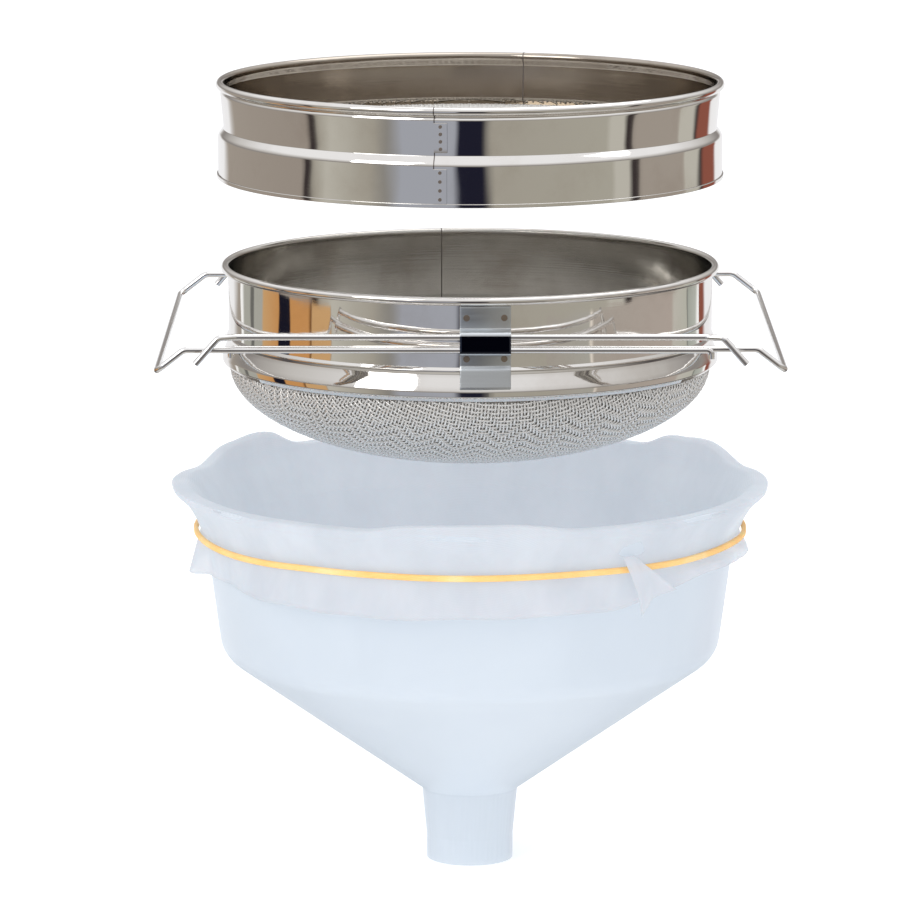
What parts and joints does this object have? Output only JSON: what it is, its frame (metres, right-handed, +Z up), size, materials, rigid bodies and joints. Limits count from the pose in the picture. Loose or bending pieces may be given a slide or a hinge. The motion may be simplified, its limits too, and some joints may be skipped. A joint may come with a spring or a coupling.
{
  "type": "double sieve strainer",
  "caption": "Round two-stage wire sieve with sliding support rods, hung above a cloth-lined plastic funnel with a spout.",
  "frame": {"origin": "centre of the spout's bottom end, on the surface it stands on", "axes": "+Z up along the funnel and both sieves; front is -Y, with the arms sliding along X"},
  "size_m": [0.291, 0.2796, 0.379],
  "materials": {
    "funnel_plastic": "translucent milky",
    "filter_cloth": "fine nylon straining cloth",
    "rubber_band": "satin",
    "polished_sheet": "mirror polished stainless sheet",
    "bright_rod": "bright drawn rod",
    "bracket_steel": "dull pressed sheet",
    "weld_spots": "heat-tinted",
    "woven_wire": "woven stainless wire"
  },
  "bodies": {
    "stand": {"funnel": "funnel_plastic", "filter_cloth": "filter_cloth", "rubber_band": "rubber_band"},
    "lower_sieve": {"lower_wall_left": "polished_sheet", "lower_wall_right": "polished_sheet", "lower_rim_wire": "polished_sheet", "lower_clamp_ring": "polished_sheet", "lower_mesh_bowl": "woven_wire", "lower_seam_welds": "weld_spots", "front_bracket": "bracket_steel", "back_bracket": "bracket_steel", "front_bracket_welds": "weld_spots", "back_bracket_welds": "weld_spots", "front_guide_rail": "bright_rod", "back_guide_rail": "bright_rod"},
    "left_arm": {"left_arm": "bright_rod"},
    "right_arm": {"right_arm": "bright_rod"},
    "upper_sieve": {"upper_wall_left": "polished_sheet", "upper_wall_right": "polished_sheet", "upper_rim_wire": "polished_sheet", "upper_clamp_ring": "polished_sheet", "upper_mesh": "woven_wire", "upper_seam_welds": "weld_spots"}
  },
  "joints": [
    {"name": "lower_sieve_lift", "type": "slide", "parent": "stand", "child": "lower_sieve", "axis": [0, 0, 1], "range_m": [-0.0808, 0]},
    {"name": "upper_sieve_lift", "type": "slide", "parent": "lower_sieve", "child": "upper_sieve", "axis": [0, 0, 1], "range_m": [-0.0562, 0]},
    {"name": "left_arm_slide", "type": "slide", "parent": "lower_sieve", "child": "left_arm", "axis": [-1, 0, 0], "range_m": [0, 0.08]},
    {"name": "right_arm_slide", "type": "slide", "parent": "lower_sieve", "child": "right_arm", "axis": [1, 0, 0], "range_m": [0, 0.08]}
  ]
}
